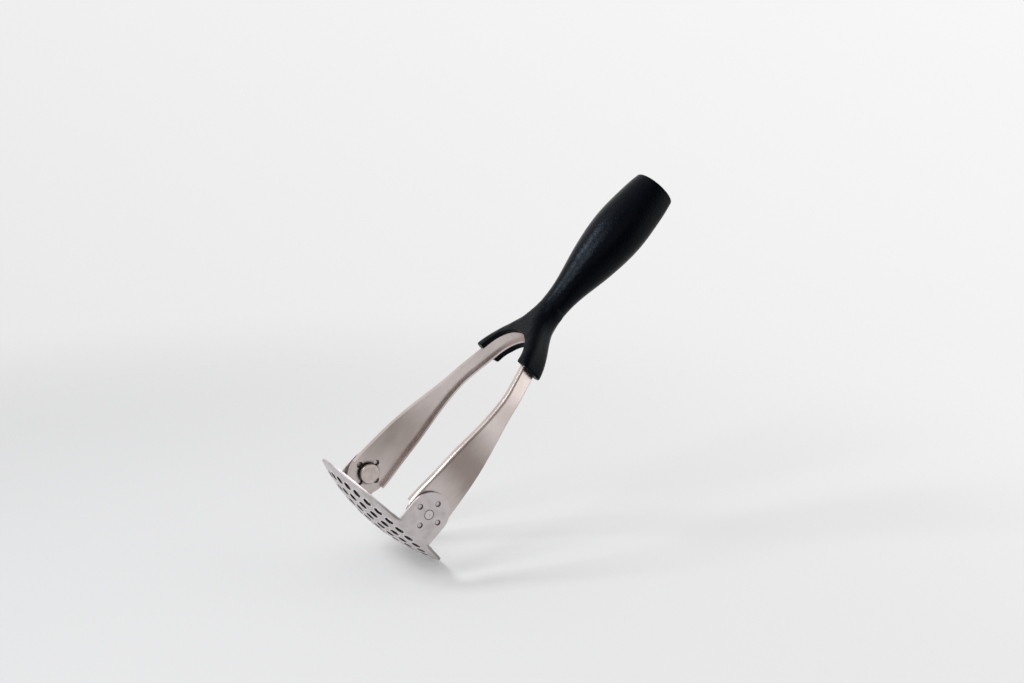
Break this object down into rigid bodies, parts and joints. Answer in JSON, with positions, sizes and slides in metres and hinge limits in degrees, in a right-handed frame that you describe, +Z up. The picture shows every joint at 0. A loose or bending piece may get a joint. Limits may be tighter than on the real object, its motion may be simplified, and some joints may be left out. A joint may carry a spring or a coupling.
{
  "type": "potato masher",
  "caption": "Hand masher: a round dished perforated plate on two ears folds between two spring-steel channel arms that fork from a moulded handle.",
  "frame": {"origin": "lowest point of the dished plate, below the middle of the handle", "axes": "+Z up the handle, X along the axis the head folds about, +X towards the right arm"},
  "size_m": [0.0888, 0.0924, 0.273],
  "materials": {
    "plate_steel": "satin stamped stainless steel, cool lilac-grey",
    "arm_steel": "satin stainless steel brushed along the arm, warm grey",
    "pin_steel": "turned stainless steel",
    "washer_steel": "dark spring steel",
    "handle_plastic": "near-black moulded plastic with a fine texture",
    "cap_plastic": "near-black moulded plastic, smoother than the grip"
  },
  "bodies": {
    "handle": {"handle_body": "handle_plastic", "handle_end_cap": "cap_plastic", "left_arm": "arm_steel", "right_arm": "arm_steel", "tang_rivets": "pin_steel"},
    "head": {"masher_plate": "plate_steel", "left_pivot_pin": "pin_steel", "right_pivot_pin": "pin_steel", "left_spring_washer": "washer_steel", "right_spring_washer": "washer_steel"}
  },
  "joints": [
    {"name": "head_fold", "type": "hinge", "parent": "handle", "child": "head", "pos_m": [0, 0, 0.0231], "axis": [1, 0, 0], "range_deg": [-90, 90]}
  ]
}
